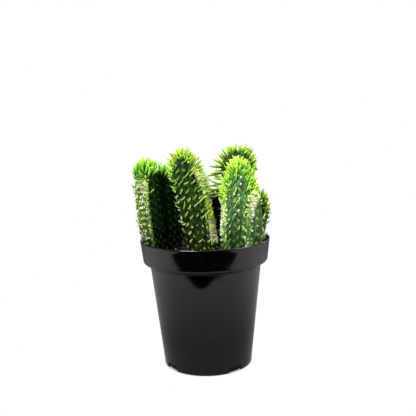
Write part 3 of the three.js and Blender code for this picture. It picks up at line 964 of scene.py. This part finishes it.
def crest_places(fan, rng):
    """Where the crowded leaves root: phi, w and the ray u of each, and its degrees round the crown."""
    first, last, spacing = fan.crest[:3]
    line = middle(fan, np.linspace(first, last, 60), np.ones(60))
    count = round(np.sum(np.linalg.norm(np.diff(line, axis=0), axis=1)) / spacing)
    step = (last - first) / count
    rows = []
    for side in (1, -1):
        bare_front = side > 0 and fan.forward < 0.4
        for i, angle in enumerate(CREST_ANGLES[1:] if bare_front else CREST_ANGLES):
            u = np.linspace(first, last, count) + (0.5 * (i % 2) + 0.25 * side) * step
            u = np.clip(u + rng.uniform(-0.4, 0.4, count) * step, -0.99, 0.99)
            phi = np.arccos(np.clip(signed(u, ROUNDING / 2), -1, 1))
            phi = phi if side > 0 else 2 * np.pi - phi
            w = 1 - CROWN + CROWN * (angle + rng.uniform(-9, 9, count)) / 90
            rows.append((phi, np.clip(w, 0, 0.995), u, np.full(count, angle)))
    return [np.concatenate(part) for part in zip(*rows)]


def crest_leaves(fan, rng):
    """Roots, aims, lengths, youth and upward directions of the crowded leaves on the crown."""
    phi, w, u, angle = crest_places(fan, rng)
    count = len(u)
    shortest, longest, rise = fan.crest[3:]
    side = np.sign(np.pi - phi)
    lean = np.cos(np.radians(angle))
    front = directions(fan, u, np.clip(reach(fan, u, w)[0], 0, 0.995))[2]
    away = outward(fan, u, np.ones(count), front)
    forth = side * (0.1 + np.where(side > 0, fan.forward, 0.8) * lean)
    aims = front * forth[:, None] + away * (1.0 - 0.25 * lean)[:, None]
    aims = aims + rng.normal(0, 0.2, (count, 3)) + (0, 0, rise)
    lengths = rng.uniform(shortest, longest, count) * (1 - 0.25 * lean)
    margin = np.where(u < 0, fan.left[4], fan.right[4]) * rng.uniform(0.7, 1, count)
    lengths = np.maximum(lengths, mix(lengths, margin, ease(0.5, 0.95, np.abs(u))))
    pale = pale_skin(fan, phi, u, np.ones(count)) * (side > 0)
    corner = fan.corner * ease(0.6, 0.8, -u) * mix(0.3, 0.9, lean)
    lengths = lengths * (1 - 0.5 * pale) * (1 - corner)
    return skin(fan, phi, w), unit(aims), lengths, np.ones(count), away


def margin_leaves(fan, side, rng):
    """The same for the leaves along one margin: side is -1 for the left and 1 for the right."""
    first, last, spacing, shortest, longest, lift = fan.left if side < 0 else fan.right
    count = round((fan.shoulder + SINK) * (last - first) / spacing) * 2
    w = np.linspace(first, last, count) + rng.uniform(-0.6, 0.6, count) * (last - first) / count
    w = np.clip(w, 0.08, 0.985)
    front_share = 0.75 if side < 0 and fan.corner else 0.5
    turn = np.where(rng.uniform(0, 1, count) < front_share, 0.5, -0.5) * side
    phi = edge_angle(side, turn + rng.uniform(-0.18, 0.18, count))
    u, thickness = section(phi)
    v, _ = reach(fan, u, w)
    along, _, front = directions(fan, u, np.clip(v, 0.01, 0.99))
    splay = 0.1 if longest > LONG_LEAF else mix(0.45, 1.2, fan.corner)
    aims = outward(fan, np.full(count, 0.99 * side), v, front)
    aims = aims + front * (splay * np.sign(thickness))[:, None] + along * lift
    aims = aims + rng.normal(0, 0.2, (count, 3))
    lengths = rng.uniform(shortest, longest, count) * mix(0.7, 1, ease(0.1, 0.6, w))
    youth = ease(0.2, 0.8, w) * (1 - 0.9 * pale_skin(fan, phi, u, w))
    return skin(fan, phi, w), unit(aims), lengths, youth, along


def areole_leaves(fan, phi, w, rng):
    """The same for the leaves that areoles bear on the faces."""
    u, thickness = section(phi)
    share = np.where(thickness > 0, fan.face, fan.back) * (1 - ease(0.8, 0.95, np.abs(u)))
    share = mix(share * mix(0.2, 1, ease(0.1, 0.4, w)), fan.top, ease(0.66, 0.84, w))
    chosen = rng.uniform(0, 1, len(phi)) < share
    phi, w, u, thickness = (part[chosen] for part in (phi, w, u, thickness))
    normal = skin_normal(fan, phi, w)
    along, across, _ = directions(fan, u, np.clip(reach(fan, u, w)[0], 0.01, 0.99))
    out, up, right = fan.lie
    sway = right * np.sign(thickness) + rng.normal(0, 0.35, len(u))
    aims = normal * out + along * up + across * sway[:, None] + rng.normal(0, 0.12, (len(u), 3))
    lengths = mix(*FACE_LENGTHS, ease(0.2, 0.7, w)) * rng.uniform(0.75, 1.25, len(u))
    return skin(fan, phi, w) + normal * 0.45, unit(aims), lengths, ease(0.25, 0.95, w), along


def make_leaves(name, fan, places, trees, rng):
    """The fan's leaves, without those that would meet another piece or leave the part's box."""
    groups = [
        crest_leaves(fan, rng),
        margin_leaves(fan, -1, rng),
        margin_leaves(fan, 1, rng),
        areole_leaves(fan, *places, rng),
    ]
    roots, aims, lengths, youth, along = (np.concatenate(part) for part in zip(*groups))
    lift = mix(0.3, 0.02, ease(7, 9, lengths))[:, None]
    bends = (along - aims) * lift + (0, 0, 0.3) * (lift - 0.05) + rng.normal(0, 0.1, (len(roots), 3))
    low, high = (np.array(corner) / MM for corner in CAD_BOX)
    tips = roots + (aims + bends) * lengths[:, None]
    inside = np.all((tips > low) & (tips < high), axis=1)
    keep = inside & clear_leaves(roots, aims + bends * 0.5, lengths, trees)
    roots, aims, lengths, youth, bends = (part[keep] for part in (roots, aims, lengths, youth, bends))
    girth = mix(0.9, 1.25, ease(3, 10, lengths)) * mix(1, 1.3, ease(8, 12, lengths))
    radii = mix(*LEAF_RADII, youth) * girth * rng.uniform(0.85, 1.15, len(roots))
    points, faces, share, leaf = awls(roots, aims, lengths, radii, bends)
    tint = rng.uniform(0, 1, len(roots))
    values = dict(share=share, young=youth[leaf], tint=tint[leaf])
    add_piece(name + "_leaves", points, faces, LEAF_MATERIALS[fan.tone], values)


def margin_areoles(fan, rng):
    """The crowded areoles of the pale margins and of the crown's pale sides, as phi and w."""
    phis, ws = [], []
    for side, density, crown in zip((-1, 1), fan.beads, fan.crown):
        count = round(CROWN_BEADS * crown)
        phis.append(np.arccos(side * rng.uniform(0.1, 0.65, count) ** (ROUNDING / 2)))
        ws.append(rng.uniform(0.84, 0.99, count))
        count = round((fan.shoulder + SINK) / BEAD_SPACING * 2 * density)
        ws.append(np.linspace(fan.start, 0.98, count) ** 0.85 + rng.uniform(-0.01, 0.01, count))
        phis.append(edge_angle(side, rng.uniform(-0.8, 0.8, count)))
    count = round(CORNER_BEADS * fan.corner)
    phis.append(np.pi + rng.uniform(-0.7, 0.7, count))
    ws.append(rng.uniform(0.86, 0.99, count))
    return np.concatenate(phis), np.concatenate(ws)


def add_wool(name, points, normals, along, radii, dim, rng):
    """One piece of all the tufts and their hairs. The tufts' shade darkens each tuft towards green as
    painted shade and shortens its hairs.
    """
    verts, faces = tufts(points, normals, along, radii)
    roots = np.repeat(points, HAIRS, axis=0)
    aims = np.repeat(normals, HAIRS, axis=0) + rng.normal(0, 0.65, (len(roots), 3))
    lengths = rng.uniform(*HAIR_LENGTHS, len(roots)) * np.repeat(mix(1, 0.5, dim), HAIRS)
    hair_verts, hair_faces = cones(roots, aims, lengths, HAIR_RADIUS)
    tuft_shades = [np.repeat(dim, len(part) // len(dim)) for part in (verts, hair_verts)]
    faces = np.vstack([faces, hair_faces + len(verts)])
    verts = np.vstack([verts, hair_verts])
    add_piece(name + "_areoles", verts, faces, WOOL, {"dim": np.concatenate(tuft_shades)})


def add_spines(name, points, normals, rng):
    roots = np.repeat(points, SPINES, axis=0)
    aims = np.repeat(normals, SPINES, axis=0) + rng.normal(0, 0.4, (len(roots), 3)) + (0, 0, 0.15)
    verts, faces = cones(roots, aims, rng.uniform(*SPINE_LENGTHS, len(roots)), SPINE_RADIUS)
    add_piece(name + "_spines", verts, faces, SPINE)


def make_areoles(name, fan, places, rng):
    phi, w = (np.concatenate(pair) for pair in zip(places, margin_areoles(fan, rng)))
    crowded = np.arange(len(phi)) >= len(places[0])
    full = (rng.uniform(0, 1, len(phi)) < fan.wool) | crowded
    u, thickness = section(phi)
    # Painted shade: tufts on the front of a shaded fan and near the mix are darkened towards green, made
    # smaller and left without spines.
    dim = fan.dim * ease(0, 0.3, thickness) * ease(-0.95, -0.8, u)
    dim = np.maximum(dim, 0.8 * (1 - ease(0.15, 0.4, w)))
    normals = skin_normal(fan, phi, w)
    points = skin(fan, phi, w) + normals * (0.62 * (1 - 0.5 * ease(0.85, 1, w)))[:, None]
    along = directions(fan, u, np.clip(w, 0.01, 0.99))[0]
    radii = mix(*TUFT_RADII, ease(0.45, 0.95, w)) * rng.uniform(0.55, 1.25, len(phi))
    radii = radii * np.where(crowded, 0.75, 1) * np.where(full, 1, 0.4) * mix(1, 0.6, dim)
    add_wool(name, points, normals, along, radii, dim, rng)
    chosen = full & (dim < 0.5) & (rng.uniform(0, 1, len(phi)) < 0.7)
    add_spines(name, points[chosen], normals[chosen], rng)


def make_cactus():
    nets = {name: lattice(fan) for name, fan in FANS.items()}
    skins = {name: fan_skin(fan, nets[name]) for name, fan in FANS.items()}
    trees = {name: tree_of(points, faces) for name, (points, faces, _) in skins.items()}
    pot_tree = tree_of(*turned(pot_profile(), 64))
    for seed, (name, fan) in enumerate(FANS.items()):
        rng = np.random.default_rng(seed + 1)
        points, faces, values = skins[name]
        stem = add_piece(name + "_stem", points, faces, SKIN_MATERIALS[fan.tone], values)
        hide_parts(name)
        places = areole_places(fan, nets[name])
        others = [tree for other, tree in trees.items() if other != name] + [pot_tree]
        make_leaves(name, fan, places, others, rng)
        make_areoles(name, fan, places, rng)


# The studio


def make_camera():
    camera = new_object("camera", bpy.data.cameras.new("camera"))
    pitch, yaw, roll = (math.radians(a) for a in (CAMERA_PITCH, CAMERA_YAW, CAMERA_ROLL))
    ahead = Vector((math.sin(yaw) * math.cos(pitch), math.cos(yaw) * math.cos(pitch), -math.sin(pitch)))
    right = ahead.cross(Vector((0, 0, 1))).normalized()
    up = right.cross(ahead)
    right, up = right * math.cos(roll) - up * math.sin(roll), right * math.sin(roll) + up * math.cos(roll)
    turn = Matrix((right, up, -ahead)).transposed()
    camera.matrix_world = Matrix.Translation(CAMERA_PLACE) @ turn.to_4x4()
    camera.data.sensor_width = SENSOR_WIDTH
    camera.data.lens = SENSOR_WIDTH * FOCAL_PIXELS / FRAME_PIXELS
    camera.data.clip_start = 0.01
    bpy.context.scene.camera = camera


def area_light(name, place, target, size, power):
    light = bpy.data.lights.new(name, "AREA")
    light.shape = "RECTANGLE"
    light.size, light.size_y = size
    light.energy = power
    lamp = new_object(name, light)
    lamp.location = place
    lamp.rotation_euler = (Vector(target) - Vector(place)).to_track_quat("-Z", "Y").to_euler()


def staged(name, corners, faces, material):
    """A piece of the studio, in metres, which lights nothing and casts no shadow."""
    piece = mesh_object(name, corners, faces)
    piece.data.materials.append(material)
    piece.visible_diffuse = False
    piece.visible_shadow = False
    return piece


def ring(pairs):
    """The corners and faces of a surface turned about Z."""
    return revolved(pairs, 64).tolist(), grid_faces(len(pairs), 64).tolist()


def glow_look(tree, glow):
    """Nothing but a white glow, whose strength the function glow gives."""
    return {
        "Base Color": (0, 0, 0, 1),
        "Specular IOR Level": 0,
        "Emission Color": (1, 1, 1, 1),
        "Emission Strength": glow(tree),
    }


def from_origin(tree):
    """Where a point is, and how far from the middle of the pot's foot."""
    where = node(tree, "ShaderNodeNewGeometry").outputs["Position"]
    return where, node(tree, "ShaderNodeVectorMath", {0: where}, operation="LENGTH").outputs["Value"]


def table_glow_with_shadow(tree):
    """The table glows white, with a painted shadow under the pot."""
    return remap(tree, from_origin(tree)[1], 0.033, 0.037, 0.01, 1)


def paper_glow_with_shadow(tree):
    """The paper glows, with a painted shadow that dims it near the pot, and it is dimmer behind the pot."""
    where, away = from_origin(tree)
    forth = node(tree, "ShaderNodeSeparateXYZ", {"Vector": where}).outputs["Y"]
    near = remap(tree, away, 0.08, 0.26, 0.36, 1)
    return product(tree, near, remap(tree, forth, 0, 0.28, 1, 0.22))


def make_world():
    """A white studio all round, brighter above."""
    world = bpy.data.worlds.new("studio")
    bpy.context.scene.world = world
    world.use_nodes = True
    tree = world.node_tree
    where = node(tree, "ShaderNodeTexCoord").outputs["Generated"]
    height = node(tree, "ShaderNodeSeparateXYZ", {"Vector": where}).outputs["Z"]
    strength = remap(tree, height, -0.3, 0.8, 0.12, 0.6)
    set_inputs(tree, tree.nodes["Background"], {"Strength": strength, "Color": (1, 1, 1, 1)})


def make_backdrop():
    """A white table with a painted shadow under the pot, and a white dome, neither of which is reflected.
    """
    white = painted("white_backdrop", glow_look, lambda tree: 1)
    paper = painted("white_paper", glow_look, table_glow_with_shadow)
    table = staged("table", [(-4, -4, 0), (4, -4, 0), (4, 4, 0), (-4, 4, 0)], [(0, 1, 2, 3)], paper)
    angles = np.radians(np.linspace(-20, 90, 12))
    dome = staged("dome", *ring([(4 * math.cos(a), 4 * math.sin(a)) for a in angles]), white)
    for sheet in (table, dome):
        sheet.visible_glossy = False


def make_reflections():
    """What only the pot's gloss shows: paper with a painted shadow near the pot, and a black card."""
    glow = painted("paper_glow_with_shadow", glow_look, paper_glow_with_shadow)
    paper = staged("paper", *ring([(0.035, 0.0004), (3.9, 0.0004)]), glow)
    black = painted("black_card", glow_look, lambda tree: 0)
    corners = [(x, y, 0.001) for x, y in CARD_EDGE + CARD_ENDS]
    card = staged("card", corners, [tuple(range(len(corners)))], black)
    for sheet in (paper, card):
        sheet.visible_camera = False
        sheet.visible_transmission = False


def make_studio():
    bpy.context.scene.view_settings.view_transform = "Standard"
    make_world()
    make_backdrop()
    make_reflections()
    for name, values in LIGHTS.items():
        area_light(name, *values)


make_camera()
WOOL = painted("wool", wool_look)
SPINE = painted("spine", spine_look)
SKIN_MATERIALS = {tone: painted("skin_" + tone, skin_look, colours) for tone, colours in TONES.items()}
LEAF_MATERIALS = {tone: painted("leaf_" + tone, leaf_look, colours) for tone, colours in TONES.items()}
make_pot()
make_soil()
make_grains()
make_cactus()
make_studio()
